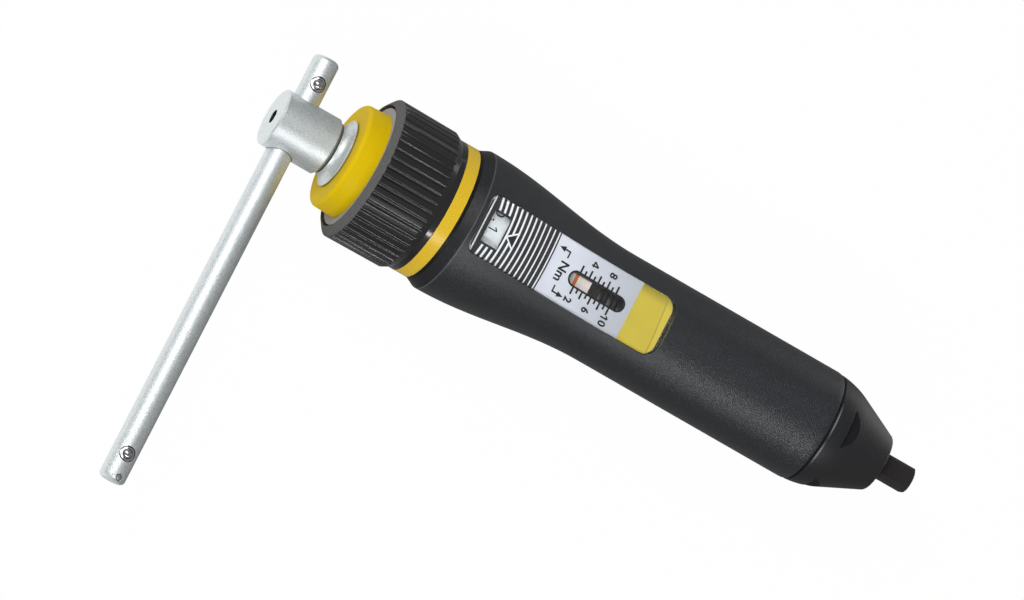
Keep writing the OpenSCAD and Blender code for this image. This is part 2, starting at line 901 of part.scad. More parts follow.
// Spring under a stop ball
module plunger_spring(y) {
    z_low = plunger_floor + 0.4;
    color("#8b8d92")
        translate([x_bar, y, z_low])
            coil(z_stop_ball - stop_ball_r - z_low, 0.95, 0.18, 4, 6, 10);
}

module plunger_spring_short() {
    plunger_spring(y_bar + ball_inset);
}

module plunger_spring_long() {
    plunger_spring(y_bar_end - ball_inset);
}

housing();
nose_cap();
front_bush();
thrust_washer();
core_shaft();
core_circlip();
socket_collar();
ring_nut();
knob_thrust_washer();
scale_label();
scale_lens();
main_spring();
drive_spindle();
drive_ball();
drive_ball_spring();
pressure_plate();
clutch_balls();
adjusting_nut();
pointer_plate();
pointer_line();
knob();
knob_band();
lead_sleeve();
digit_drum();
knob_screws();
lock_ring();
lock_disc();
lock_pins();
handle_hub();
t_bar();
plunger_sleeves();
plunger_ball_short();
plunger_ball_long();
plunger_spring_short();
plunger_spring_long();
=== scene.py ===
# Torque screwdriver: finishes, scale print, drum digits, lens, springs, floor, light and camera.
import json
import math

import bpy
from mathutils import Matrix, Vector

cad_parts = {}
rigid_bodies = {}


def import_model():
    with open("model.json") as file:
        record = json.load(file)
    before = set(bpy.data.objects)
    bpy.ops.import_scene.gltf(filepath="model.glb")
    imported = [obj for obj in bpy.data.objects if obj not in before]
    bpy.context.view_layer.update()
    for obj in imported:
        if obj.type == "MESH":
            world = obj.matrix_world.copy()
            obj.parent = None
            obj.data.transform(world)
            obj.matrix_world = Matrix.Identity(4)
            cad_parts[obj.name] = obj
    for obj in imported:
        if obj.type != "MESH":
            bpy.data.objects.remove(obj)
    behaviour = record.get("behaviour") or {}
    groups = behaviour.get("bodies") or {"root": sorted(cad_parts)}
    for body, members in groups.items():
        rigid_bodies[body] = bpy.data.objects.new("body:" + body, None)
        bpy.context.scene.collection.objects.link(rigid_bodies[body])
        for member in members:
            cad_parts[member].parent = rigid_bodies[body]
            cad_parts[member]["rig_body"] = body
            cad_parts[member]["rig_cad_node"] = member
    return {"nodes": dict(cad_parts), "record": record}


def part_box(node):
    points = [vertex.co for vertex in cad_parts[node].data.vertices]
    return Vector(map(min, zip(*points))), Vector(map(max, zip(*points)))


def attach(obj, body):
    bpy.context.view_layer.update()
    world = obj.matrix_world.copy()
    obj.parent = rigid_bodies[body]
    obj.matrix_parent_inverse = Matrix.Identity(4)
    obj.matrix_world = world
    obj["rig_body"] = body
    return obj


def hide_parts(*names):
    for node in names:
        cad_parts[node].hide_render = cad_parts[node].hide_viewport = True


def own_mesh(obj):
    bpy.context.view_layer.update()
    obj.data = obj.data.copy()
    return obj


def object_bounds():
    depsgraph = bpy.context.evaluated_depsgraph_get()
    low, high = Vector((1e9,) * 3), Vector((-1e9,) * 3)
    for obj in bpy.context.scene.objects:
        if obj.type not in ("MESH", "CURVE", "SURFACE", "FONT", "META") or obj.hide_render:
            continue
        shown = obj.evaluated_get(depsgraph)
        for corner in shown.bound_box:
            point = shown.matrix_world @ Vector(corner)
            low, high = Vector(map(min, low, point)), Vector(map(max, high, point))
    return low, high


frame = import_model()
cad_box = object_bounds()
nodes = frame["nodes"]
scene = bpy.context.scene
scene.view_settings.view_transform = "Standard"


def linear(red, green, blue):
    """Colour written as 0 to 255 display values, as the shader wants it."""
    def channel(value):
        value /= 255
        return value / 12.92 if value <= 0.04045 else ((value + 0.055) / 1.055) ** 2.4
    return (channel(red), channel(green), channel(blue), 1.0)


MM = 0.001
NEAR = 0.01 * MM

# The photograph: the tool's axis falls to the right, and the camera leans towards the handle
IMAGE_W = 1024
IMAGE_H = 600
PIXELS_PER_MM = 4.0
AXIS_DROP = math.radians(29.86)
CAMERA_LEAN = math.radians(15)
TOOL_ROLL = math.radians(10.2)
CAMERA_DISTANCE = 6.0
SENSOR_W = 36.0
HUB_PIXEL = (290.98, 126.56)
HUB_PIXEL_X = 185.2 * MM

# Label: a striped field at the handle end, then a silver one, then a yellow one
label_low, label_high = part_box("scale_label")
label_end = label_high[0]
label_half = label_high[1]
SILVER_END = label_end - 21.4 * MM
YELLOW_END = label_end - 46.7 * MM
SILVER = (linear(164, 169, 178), linear(220, 225, 235))
FLECK = 0.12 * MM
FLECK_IN_SILVER = 0.3

# Striped field: white stripes, a white line at its end and a dark frame round the digits
STRIPE_PITCH = 1.425 * MM
STRIPE_COUNT = 12
STRIPES_ACROSS = 9
STRIPE_FIRST = label_end - 19.37 * MM
STRIPE_LAST = STRIPE_FIRST + (STRIPE_COUNT - 1) * STRIPE_PITCH
STRIPE_BOW = (0.3 * MM, 0.85 * MM)
STRIPE_SHARE = (0.25, 0.44)
BORDER_LINE = label_end - 1.1 * MM
BORDER_W = 0.4 * MM
DIGIT_FRAME = STRIPE_FIRST + (STRIPES_ACROSS - 0.5) * STRIPE_PITCH
DIGIT_FRAME_HALF = 4.8 * MM
FIELD_BLACK = linear(26, 27, 30)
FIELD_WHITE = linear(236, 238, 241)

# Yellow end: a painted dark line where the lens's end rounds off, a painted highlight on the strip past
# that, painted shade on one side and painted shadow in the gap at its end, with round corners
END_YELLOW = (linear(178, 160, 36), linear(206, 188, 66))
END_HIGHLIGHT_COLOUR = linear(202, 184, 66)
END_BEND = 2.1 * MM
END_BEND_W = 0.3 * MM
END_BEND_LINE_SHADE = linear(164, 148, 34)
END_SLANT = 0.07
END_BOW = 0.24 * MM
END_GAP = 0.45 * MM
END_CORNER = 3.5 * MM
END_SHADE = (-8.0 * MM, -5.2 * MM)
END_SHADE_COLOUR = linear(140, 128, 36)

# Scale: the reading falls by two for each turn of the knob, which moves the pointer by one lead
LEAD = 2.75 * MM
UNITS_PER_TURN = 2
REST_READING = 2.1
LOWEST_MARK = 2
HIGHEST_MARK = 10
SLOT_LEN = 16.2 * MM
SLOT_W = 3.3 * MM
SLOT_END = label_end - 28.3 * MM
SLOT_EDGE = 0.5 * MM
SLOT_LIP = 0.04 * MM
TICK_START = SLOT_W / 2 + SLOT_EDGE * 0.7
TICK_W = 0.52 * MM
LONG_TICK = 2.0 * MM
SHORT_TICK = 1.15 * MM

# Letters and figures; one drawn with strokes is as high as a share of the font's size
FIGURE_HEIGHT = 0.7
NUMBER_SIZE = 2.9 * MM
NUMBER_Y = 5.6 * MM
NUMBER_STROKE = 0.42 * MM
TEN_HALF = 0.75 * MM
BOLD = 0.09 * MM
UNIT_SIZE = 3.5 * MM
UNIT_X = label_end - 25.4 * MM
UNIT_Y = 0.3 * MM
INK_COLOUR = linear(16, 16, 18)
INK_T = 0.02 * MM
PRINT_HEIGHT = 30 * MM

# Digit drum
DRUM_MARKS = 10
DRUM_STEP = 0.2
DRUM_FIRST = 0.1
DRUM_SIZE = 3.6 * MM
DRUM_SPACE = 2.2 * MM
DRUM_STROKE = 0.32 * MM
DRUM_BOLD = 0.02 * MM
DRUM_X = label_end - 4.3 * MM

# Lens: a hair above the print, with round edges given a pale frost at the handle end, which is a painted
# highlight
LENS_GAP = 0.08 * MM
LENS_ROUND = 0.35 * MM
LENS_EDGE = 0.3 * MM
LENS_CORNER = 1.6 * MM
EDGE_FROST_HIGHLIGHT = 0.5
CORNER_FROST_HIGHLIGHT = 0.35

# Springs: the joint that squeezes each, along which axis, and the end that stays put
SPRINGS = (("main_spring", "nut_travel", (1, 0, 0), "low"),
           ("drive_ball_spring", "drive_ball_press", (0, 0, 1), "high"),
           ("plunger_spring_short", "ball_short_press", (0, 0, 1), "low"),
           ("plunger_spring_long", "ball_long_press", (0, 0, 1), "low"))

# Spanner flats of the nose, which are smooth and darker than its cone
NOSE_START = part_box("nose_cap")[0][0]
NOSE_COLOUR = linear(23, 24, 27)
FLAT_COLOUR = linear(23, 24, 28)
FLAT_TURN = math.radians(7)
FLAT_DIST = 13.0 * MM
FLAT_SLACK = 0.03 * MM
FLAT_END = NOSE_START + 14.4 * MM

# Painted shade in the seam between nose and grip, and a painted highlight on the nose's edge at it, in
# two places
SEAM = NOSE_START + 19.1 * MM
SEAM_SHADE = (SEAM - 0.4 * MM, SEAM + 0.25 * MM)
SEAM_DULL = 0.8
SEAM_SHADE_COLOUR = linear(16, 17, 20)
SEAM_EDGE_W = 0.42 * MM
SEAM_EDGE_HIGHLIGHT = linear(126, 128, 132)
SEAM_SHINE = ((-1.4 * MM, 5.5 * MM), (7.4 * MM, 3.5 * MM))
SEAM_SHINE_CORE = 0.2
SEAM_SHINE_LOW = FLAT_DIST * 0.3

# Grip, with a painted highlight on the edge of its rear lip, and painted shade behind that and in the
# seam at its front end
GRIP_COLOUR = linear(33, 36, 41)
GRIP_SHADE_COLOUR = linear(25, 26, 29)
LIP = label_end + 1.5 * MM
LIP_EDGE_W = 0.4 * MM
LIP_HIGHLIGHT = linear(78, 80, 84)

# Handle: painted shade in the hub's centre hole, at the collar's rim, on the hub's front chamfer, on the
# line where the bar enters it and in a dimple in the bar, with how dark each is
STEEL_COLOUR = linear(226, 232, 233)
STEEL_SHADE_COLOUR = linear(70, 71, 72)
HUB_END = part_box("handle_hub")[1][0]
HOLE = (HUB_END - 1.65 * MM, HUB_END - 0.1 * MM)
HOLE_R = 1.93 * MM
COLLAR_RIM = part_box("socket_collar")[0][0] + 0.3 * MM
COLLAR_RIM_SHADE = 0.7
COLLAR_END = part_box("socket_collar")[1][0]
CHAMFER = (COLLAR_END + 0.2 * MM, COLLAR_END + 1.0 * MM)
CHAMFER_R = 6.0 * MM
CHAMFER_SHADE = 0.65
BAR_X = (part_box("t_bar")[0][0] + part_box("t_bar")[1][0]) / 2
ENTRY_R = (3.53 * MM, 3.75 * MM)
ENTRY_SHADE = 0.8
DIMPLE = (BAR_X - 0.67 * MM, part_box("t_bar")[1][1] - 1.15 * MM)
DIMPLE_R = 0.65 * MM
DIMPLE_LINE = 0.2 * MM
DIMPLE_FLOOR_PALE = 0.5

# Ball plungers in the bar: painted shade on the line round each seat and in the gap round each ball, and
# a painted dark reflection on each ball
PLUNGERS = ("plunger_ball_short", "plunger_ball_long")
SEAT_R = 1.95 * MM
SEAT_LINE = 0.14 * MM
GAP_R = (1.2 * MM, 1.38 * MM)
GAP_SHADE = linear(52, 53, 55)
BALL_COLOUR = linear(215, 216, 220)
PLUNGER_DARK_REFLECTION = linear(190, 191, 194)

# Knob: dark ribs with a painted highlight on their edges, the turn of their rounded surface (as a
# cosine) from which it counts as an edge, and the rear rim, smooth, with painted light that makes it
# paler
RIB_COLOUR = linear(10, 11, 13)
RIB_HIGHLIGHT_COLOUR = linear(58, 60, 63)
RIB_ROUND = 0.45 * MM
RIB_EDGE = (0.78, 0.9)
RIM_PAINTED_LIGHT = linear(97, 97, 97)
RIM_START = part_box("knob")[1][0] - 1.6 * MM

# Floor: how much of it the camera sees as pure white, and how bright metal and gloss see it. It looks
# bright to them near the handle's hub, and ahead of the nose on one side
FLOOR_SIZE = 6.0
FLOOR_MOTTLE = 0.2
FLOOR_COLOURS = (linear(238, 238, 239), linear(244, 244, 244))
FLOOR_GLOW = 0.985
MIRROR_LEVELS = (0.2, 1.05)
MIRROR_EDGE = (0.17, 0.186)
MIRROR_FRONT = (-0.025, 0.011)
MIRROR_SIDE = (-0.025, 0.005)
SKY_LEVEL = 0.28

# Finishes of one colour
PLAIN_FINISHES = {
    "band_yellow": dict(colour=linear(238, 198, 42), roughness=0.28, depth=0.006 * MM, shade=0.06,
                        specular=0.45),
    "lock_yellow": dict(colour=linear(232, 196, 0), roughness=0.5, depth=0.006 * MM, shade=0.05,
                        specular=0.12, edge=0.2 * MM),
    "disc_grey": dict(colour=linear(165, 166, 169), roughness=0.5, depth=0.012 * MM, shade=0.1,
                      edge=0.1 * MM),
    "black_steel": dict(colour=linear(44, 40, 41), roughness=0.5, metallic=0.2, size=0.4 * MM,
                        depth=0.012 * MM, shade=0.15, specular=0.3, edge=0.12 * MM),
    "inner_steel": dict(colour=linear(165, 166, 170), roughness=0.33, metallic=1.0, depth=0.006 * MM),
    "spring_steel": dict(colour=linear(42, 43, 46), roughness=0.42, metallic=1.0, depth=0.004 * MM),
    "bronze": dict(colour=linear(172, 134, 82), roughness=0.35, metallic=1.0, size=0.25 * MM,
                   depth=0.006 * MM),
    "drum_white": dict(colour=linear(222, 229, 232), roughness=0.5, depth=0.004 * MM, shade=0.03),
    "pointer_pale": dict(colour=linear(220, 212, 205), roughness=0.5, depth=0.004 * MM, shade=0.05),
    "pointer_orange": dict(colour=linear(196, 98, 18), roughness=0.5, size=0.2 * MM, depth=0.004 * MM),
    "ink": dict(colour=INK_COLOUR, roughness=0.6, size=0.2 * MM, depth=0.002 * MM, specular=0.2),
    "white_ink": dict(colour=linear(232, 234, 238), roughness=0.55, size=0.2 * MM, depth=0.002 * MM,
                      shade=0.03)}


def activate(piece):
    bpy.ops.object.select_all(action="DESELECT")
    piece.select_set(True)
    bpy.context.view_layer.objects.active = piece


def edit(piece, mode="VERT"):
    """Clear the selection in a piece's mesh, for one kind of element."""
    activate(piece)
    bpy.ops.object.mode_set(mode="EDIT")
    bpy.ops.mesh.select_mode(type=mode)
    bpy.ops.mesh.select_all(action="DESELECT")
    bpy.ops.object.mode_set(mode="OBJECT")


def select_vertices(piece, wanted):
    """Select by place, then go back to edit mode."""
    for vertex in piece.data.vertices:
        vertex.select = wanted(vertex.co)
    bpy.ops.object.mode_set(mode="EDIT")


def apply_place():
    """Write the active piece's place, turn and scale into its mesh."""
    bpy.ops.object.transform_apply(location=True, rotation=True, scale=True)


def apply_modifier(piece, kind, **settings):
    activate(piece)
    modifier = piece.modifiers.new(kind.lower(), kind)
    for key, value in settings.items():
        setattr(modifier, key, value)
    bpy.ops.object.modifier_apply(modifier=modifier.name)


def joined(pieces):
    activate(pieces[0])
    for piece in pieces:
        piece.select_set(True)
    bpy.ops.object.join()
    return bpy.context.object


def settle(piece, name, body, material):
    """Finish a piece: its name, its place in the mesh, its material and the body it rides on."""
    activate(piece)
    apply_place()
    piece.name = name
    piece.data.name = name
    piece.data.materials.clear()
    piece.data.materials.append(material)
    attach(piece, body)


def new_material(name):
    material = bpy.data.materials.new(name)
    material.use_nodes = True
    return material, material.node_tree, material.node_tree.nodes["Principled BSDF"]


def fill(tree, socket, value):
    """Set a socket to a value, or link it to another node's output."""
    if isinstance(value, bpy.types.NodeSocket):
        tree.links.new(value, socket)
    else:
        socket.default_value = value


def math_node(tree, operation, first, second=0.0):
    node = tree.nodes.new("ShaderNodeMath")
    node.operation = operation
    fill(tree, node.inputs[0], first)
    fill(tree, node.inputs[1], second)
    return node.outputs[0]


def minus(tree, first, second):
    return math_node(tree, "SUBTRACT", first, second)


def times(tree, first, second):
    return math_node(tree, "MULTIPLY", first, second)


def above(tree, value, bound):
    return math_node(tree, "GREATER_THAN", value, bound)


def below(tree, value, bound):
    return math_node(tree, "LESS_THAN", value, bound)


def between(tree, value, low, high):
    """One where a value lies between two bounds, nought elsewhere."""
    return times(tree, above(tree, value, low), below(tree, value, high))


def magnitude(tree, value):
    return math_node(tree, "ABSOLUTE", value)


def largest(tree, *values):
    result = values[0]
    for value in values[1:]:
        result = math_node(tree, "MAXIMUM", result, value)
    return result


def distance(tree, first, second):
    """Length of the sloping side over two square ones."""
    squares = [math_node(tree, "POWER", side, 2) for side in (first, second)]
    return math_node(tree, "SQRT", math_node(tree, "ADD", *squares))


def spread(tree, value, low, high, span=(0.0, 1.0)):
    """Value that runs from low to high while another crosses a span."""
    node = tree.nodes.new("ShaderNodeMapRange")
    node.inputs["From Min"].default_value = span[0]
    node.inputs["From Max"].default_value = span[1]
    node.inputs["To Min"].default_value = low
    node.inputs["To Max"].default_value = high
    tree.links.new(value, node.inputs["Value"])
    return node.outputs["Result"]


def mixed_colour(tree, share, first, second):
    node = tree.nodes.new("ShaderNodeMix")
    node.data_type = "RGBA"
    tree.links.new(share, node.inputs["Factor"])
    fill(tree, node.inputs[6], first)
    fill(tree, node.inputs[7], second)
    return node.outputs[2]


def mixed_shader(tree, share, first, second):
    node = tree.nodes.new("ShaderNodeMixShader")
    tree.links.new(share, node.inputs["Fac"])
    tree.links.new(first, node.inputs[1])
    tree.links.new(second, node.inputs[2])
    return node.outputs["Shader"]


def grain(tree, size):
    """Noise whose grains have a real size, on the piece's own coordinates."""
    place = tree.nodes.new("ShaderNodeTexCoord")
    noise = tree.nodes.new("ShaderNodeTexNoise")
    noise.inputs["Scale"].default_value = 1 / size
    noise.inputs["Detail"].default_value = 2.0
    tree.links.new(place.outputs["Object"], noise.inputs["Vector"])
    return noise.outputs["Fac"]


def fine_grain(tree, size):
    """Grain with its contrast raised, from nought to one."""
    return spread(tree, grain(tree, size), 0, 1, (0.3, 0.7))


def shades(colour, shade):
    """A darker and a lighter form of a colour."""
    return [tuple(min(1.0, c * (1 + way * shade)) for c in colour[:3]) + (1.0,) for way in (-1, 1)]


def add_bump(tree, shader, height, depth, edge=0):
    """Relief of the grain, and edges that catch the light as if slightly rounded."""
    bump = tree.nodes.new("ShaderNodeBump")
    bump.inputs["Distance"].default_value = depth
    tree.links.new(height, bump.inputs["Height"])
    if edge:
        rounding = tree.nodes.new("ShaderNodeBevel")
        rounding.samples = 4
        rounding.inputs["Radius"].default_value = edge
        tree.links.new(rounding.outputs["Normal"], bump.inputs["Normal"])
    tree.links.new(bump.outputs["Normal"], shader.inputs["Normal"])


def link_specular(tree, shader, dull, bright_level, dull_level):
    """Specular level that falls where the surface is dull; without the link it is the bright one."""
    socket = shader.inputs["Specular IOR Level"]
    socket.default_value = bright_level
    tree.links.new(spread(tree, dull, bright_level, dull_level), socket)


def object_axes(tree, turn=0.0):
    """Place on the piece: along the tool, across it and up, with the last two turned about the tool."""
    place = tree.nodes.new("ShaderNodeTexCoord")
    turned = tree.nodes.new("ShaderNodeMapping")
    turned.inputs["Rotation"].default_value = (turn, 0, 0)
    axes = tree.nodes.new("ShaderNodeSeparateXYZ")
    tree.links.new(place.outputs["Object"], turned.inputs["Vector"])
    tree.links.new(turned.outputs["Vector"], axes.inputs["Vector"])
    return axes.outputs["X"], axes.outputs["Y"], axes.outputs["Z"]


def grained(name, colour, roughness, metallic=0.0, size=0.3 * MM, depth=0.01 * MM, shade=0.12,
            specular=0.5, edge=0):
    """Solid colour with a fine grain in its tone, its gloss and its surface."""
    material, tree, shader = new_material(name)
    fine = fine_grain(tree, size)
    tree.links.new(mixed_colour(tree, fine, *shades(colour, shade)), shader.inputs["Base Color"])
    tree.links.new(spread(tree, fine, roughness * 0.9, roughness * 1.1), shader.inputs["Roughness"])
    shader.inputs["Metallic"].default_value = metallic
    shader.inputs["Specular IOR Level"].default_value = specular
    add_bump(tree, shader, fine, depth, edge)
    return material


def nose_black():
    """Satin black cone with darker flats, painted shade in the seam behind it and a painted highlight on
    its edge there.
    """
    material, tree, shader = new_material("nose_black")
    along, across, up = object_axes(tree, -FLAT_TURN)
    side = object_axes(tree)[1]
    up = magnitude(tree, up)
    on_flat = above(tree, largest(tree, magnitude(tree, across), up), FLAT_DIST - FLAT_SLACK)
    on_flat = times(tree, on_flat, below(tree, along, FLAT_END))
    # Painted highlight on the nose's edge at the seam, in two places round it
    shine = 0.0
    for place, reach in SEAM_SHINE:
        off = magnitude(tree, minus(tree, side, place))
        shine = largest(tree, spread(tree, off, 1, 0, (reach * SEAM_SHINE_CORE, reach)), shine)
    shine = times(tree, shine, above(tree, up, SEAM_SHINE_LOW))
    # Painted highlight on the edge band in front of the seam; painted shade, dark and dull, on all of
    # this finish behind the seam's start
    on_highlight_edge = between(tree, along, SEAM_SHADE[0] - SEAM_EDGE_W, SEAM_SHADE[0])
    in_seam_shade = above(tree, along, SEAM_SHADE[0])

    fine = fine_grain(tree, size=0.35 * MM)
    cone = mixed_colour(tree, fine, *shades(NOSE_COLOUR, shade=0.3))
    cone = mixed_colour(tree, times(tree, on_highlight_edge, shine), cone, SEAM_EDGE_HIGHLIGHT)
    cone = mixed_colour(tree, in_seam_shade, cone, SEAM_SHADE_COLOUR)
    tree.links.new(mixed_colour(tree, on_flat, cone, FLAT_COLOUR), shader.inputs["Base Color"])
    tree.links.new(spread(tree, on_flat, 0.42, 0.6), shader.inputs["Roughness"])
    dull = largest(tree, on_flat, times(tree, in_seam_shade, SEAM_DULL))
    link_specular(tree, shader, dull, bright_level=0.65, dull_level=0.2)
    add_bump(tree, shader, fine, depth=0.03 * MM, edge=0.15 * MM)
    return material


def grip_plastic():
    """Moulded charcoal plastic with a fine texture, painted shade at both ends and a painted highlight
    on the edge of its rear lip.
    """
    material, tree, shader = new_material("grip_plastic")
    along = object_axes(tree)[0]
    # Painted highlight along the lip's edge; painted shade, dark and dull, behind the lip and in the
    # seam at the front
    on_lip_highlight = between(tree, along, LIP - LIP_EDGE_W / 2, LIP + LIP_EDGE_W / 2)
    at_end = largest(tree, above(tree, along, LIP), below(tree, along, SEAM_SHADE[1]))

    fine = fine_grain(tree, size=0.3 * MM)
    skin = mixed_colour(tree, fine, *shades(GRIP_COLOUR, shade=0.5))
    skin = mixed_colour(tree, at_end, skin, GRIP_SHADE_COLOUR)
    tree.links.new(mixed_colour(tree, on_lip_highlight, skin, LIP_HIGHLIGHT), shader.inputs["Base Color"])
    tree.links.new(spread(tree, fine, 0.28, 0.34), shader.inputs["Roughness"])
    link_specular(tree, shader, at_end, bright_level=0.75, dull_level=0.35)
    add_bump(tree, shader, fine, depth=0.055 * MM, edge=0.15 * MM)
    return material


def from_plunger(tree, along, across, name):
    """Distance from the centre line of a plunger."""
    low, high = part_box(name)
    off_x = minus(tree, along, (low[0] + high[0]) / 2)
    off_y = minus(tree, across, (low[1] + high[1]) / 2)
    return distance(tree, off_x, off_y)


def satin_steel():
    """Satin chrome with a fine speckle, and painted shade in the handle's hole, chamfer, seats, gaps and
    dimple.
    """
    material, tree, shader = new_material("satin_steel")
    along, across, up = object_axes(tree)
    on_top = above(tree, up, 0.0)
    off_axis = distance(tree, across, up)
    off_bar = distance(tree, minus(tree, along, BAR_X), up)
    from_dimple = distance(tree, minus(tree, along, DIMPLE[0]), minus(tree, across, DIMPLE[1]))
    in_dimple = times(tree, below(tree, from_dimple, DIMPLE_R + DIMPLE_LINE), on_top)
    on_floor = below(tree, from_dimple, DIMPLE_R)
    on_chamfer = times(tree, above(tree, off_axis, CHAMFER_R), between(tree, along, *CHAMFER))
    # Painted shade in the hub's hole, on its chamfer, at the collar's rim, where the bar enters the hub
    # and in the dimple, paler on its floor; then round each plunger's seat
    dark = [times(tree, below(tree, off_axis, HOLE_R), between(tree, along, *HOLE)),
            times(tree, on_chamfer, CHAMFER_SHADE),
            times(tree, below(tree, along, COLLAR_RIM), COLLAR_RIM_SHADE),
            times(tree, between(tree, off_bar, *ENTRY_R), ENTRY_SHADE),
            times(tree, in_dimple, minus(tree, 1.0, times(tree, on_floor, DIMPLE_FLOOR_PALE)))]
    for name in PLUNGERS:
        at_seat = below(tree, from_plunger(tree, along, across, name), SEAT_R + SEAT_LINE)
        dark.append(times(tree, at_seat, on_top))

    fine = fine_grain(tree, size=0.25 * MM)
    tone = mixed_colour(tree, fine, *shades(STEEL_COLOUR, shade=0.22))
    tone = mixed_colour(tree, largest(tree, *dark), tone, STEEL_SHADE_COLOUR)
    tree.links.new(tone, shader.inputs["Base Color"])
    tree.links.new(spread(tree, fine, 0.42, 0.5), shader.inputs["Roughness"])
    shader.inputs["Metallic"].default_value = 0.9
    add_bump(tree, shader, fine, depth=0.028 * MM, edge=0.2 * MM)
    return material


def ball_steel():
    """Polished steel, with a painted dark reflection on the plungers' balls and painted shade in the gap
    round each.
    """
    material, tree, shader = new_material("ball_steel")
    along, across, _ = object_axes(tree)
    fine = fine_grain(tree, size=0.4 * MM)
    tone = mixed_colour(tree, fine, *shades(BALL_COLOUR, shade=0.04))
    for name in PLUNGERS:
        away = from_plunger(tree, along, across, name)
        # Painted shade in the gap round the ball, and a painted dark reflection on the ball inside it
        tone = mixed_colour(tree, below(tree, away, GAP_R[1]), tone, GAP_SHADE)
        tone = mixed_colour(tree, below(tree, away, GAP_R[0]), tone, PLUNGER_DARK_REFLECTION)
    tree.links.new(tone, shader.inputs["Base Color"])
    tree.links.new(spread(tree, fine, 0.12, 0.16), shader.inputs["Roughness"])
    shader.inputs["Metallic"].default_value = 1.0
    add_bump(tree, shader, fine, depth=0.002 * MM)
    return material


def knob_plastic():
    """Dark plastic with a sheen, a painted highlight on the rib edges, and a matt rear rim made grey by
    painted light.
    """
    material, tree, shader = new_material("knob_plastic")
    in_rim = above(tree, object_axes(tree)[0], RIM_START)
    rounded = tree.nodes.new("ShaderNodeBevel")
    rounded.samples = 16
    rounded.inputs["Radius"].default_value = RIB_ROUND
    flat = tree.nodes.new("ShaderNodeNewGeometry")
    turned = tree.nodes.new("ShaderNodeVectorMath")
    turned.operation = "DOT_PRODUCT"
    tree.links.new(rounded.outputs["Normal"], turned.inputs[0])
    tree.links.new(flat.outputs["True Normal"], turned.inputs[1])
    # Painted highlight: the rib edges, where the rounded normal turns away from the true one, are paler
    on_highlight_edge = spread(tree, turned.outputs["Value"], 1, 0, RIB_EDGE)

    fine = fine_grain(tree, size=0.3 * MM)
    ribs = mixed_colour(tree, fine, *shades(RIB_COLOUR, shade=0.2))
    ribs = mixed_colour(tree, on_highlight_edge, ribs, RIB_HIGHLIGHT_COLOUR)
    # Painted light on the rear rim, which makes it a paler grey
    rim = mixed_colour(tree, fine, *shades(RIM_PAINTED_LIGHT, shade=0.25))
    tree.links.new(mixed_colour(tree, in_rim, ribs, rim), shader.inputs["Base Color"])
    tree.links.new(spread(tree, in_rim, 0.45, 0.6), shader.inputs["Roughness"])
    shader.inputs["Specular IOR Level"].default_value = 0.15
    add_bump(tree, shader, fine, depth=0.012 * MM, edge=RIB_ROUND)
    tree.links.new(rounded.outputs["Normal"], shader.inputs["Coat Normal"])
    tree.links.new(spread(tree, in_rim, 1.0, 0.0), shader.inputs["Coat Weight"])
    shader.inputs["Coat IOR"].default_value = 1.65
    shader.inputs["Coat Roughness"].default_value = 0.13
    return material


def striped_field(tree, along, across, off_axis):
    """Colour of the striped field, and a mask of where it lies."""
    # The stripes bow, more so towards the handle, and the white share of their pitch grows that way
    run = (STRIPE_FIRST, STRIPE_LAST)
    bow = spread(tree, along, *STRIPE_BOW, run)
    share = spread(tree, along, STRIPE_SHARE[0] / 2, STRIPE_SHARE[1] / 2, run)
    centre = minus(tree, along, times(tree, off_axis, bow))
    turns = math_node(tree, "DIVIDE", minus(tree, centre, STRIPE_FIRST), STRIPE_PITCH)
    stripe = below(tree, math_node(tree, "PINGPONG", turns, 0.5), share)
    beside = above(tree, across, DIGIT_FRAME_HALF)
    before = below(tree, centre, DIGIT_FRAME)
    shown = times(tree, largest(tree, beside, before), below(tree, turns, STRIPE_COUNT - 0.5))
    border = below(tree, magnitude(tree, minus(tree, along, BORDER_LINE)), BORDER_W / 2)
    white = largest(tree, times(tree, stripe, shown), border)
    return mixed_colour(tree, white, FIELD_BLACK, FIELD_WHITE), above(tree, centre, SILVER_END)


def yellow_end(tree, along, side, off_axis, fleck):
    """Colour of the yellow end: a painted dark line along a slanting arc, a painted highlight past it,
    painted shade at one side, painted shadow in the gap.
    """
    arc = minus(tree, along, label_low[0])
    arc = math_node(tree, "ADD", arc, times(tree, side, END_SLANT))
    arc = minus(tree, arc, times(tree, off_axis, END_BOW))
    on_bend_shade = below(tree, magnitude(tree, minus(tree, arc, END_BEND)), END_BEND_W / 2)
    past_end = minus(tree, label_low[0] + END_GAP + END_CORNER, along)
    past_side = minus(tree, magnitude(tree, side), label_half - END_CORNER)
    past = distance(tree, largest(tree, past_end, 0.0), largest(tree, past_side, 0.0))
    yellow = mixed_colour(tree, fleck, *END_YELLOW)
    # Painted highlight on the strip past the bend, a painted dark line on the bend and painted shade on
    # one side
    yellow = mixed_colour(tree, below(tree, arc, END_BEND), yellow, END_HIGHLIGHT_COLOUR)
    yellow = mixed_colour(tree, on_bend_shade, yellow, END_BEND_LINE_SHADE)
    yellow = mixed_colour(tree, spread(tree, side, 1, 0, END_SHADE), yellow, END_SHADE_COLOUR)
    # Painted shadow in the gap at the end
    return mixed_colour(tree, above(tree, past, END_CORNER), yellow, INK_COLOUR)


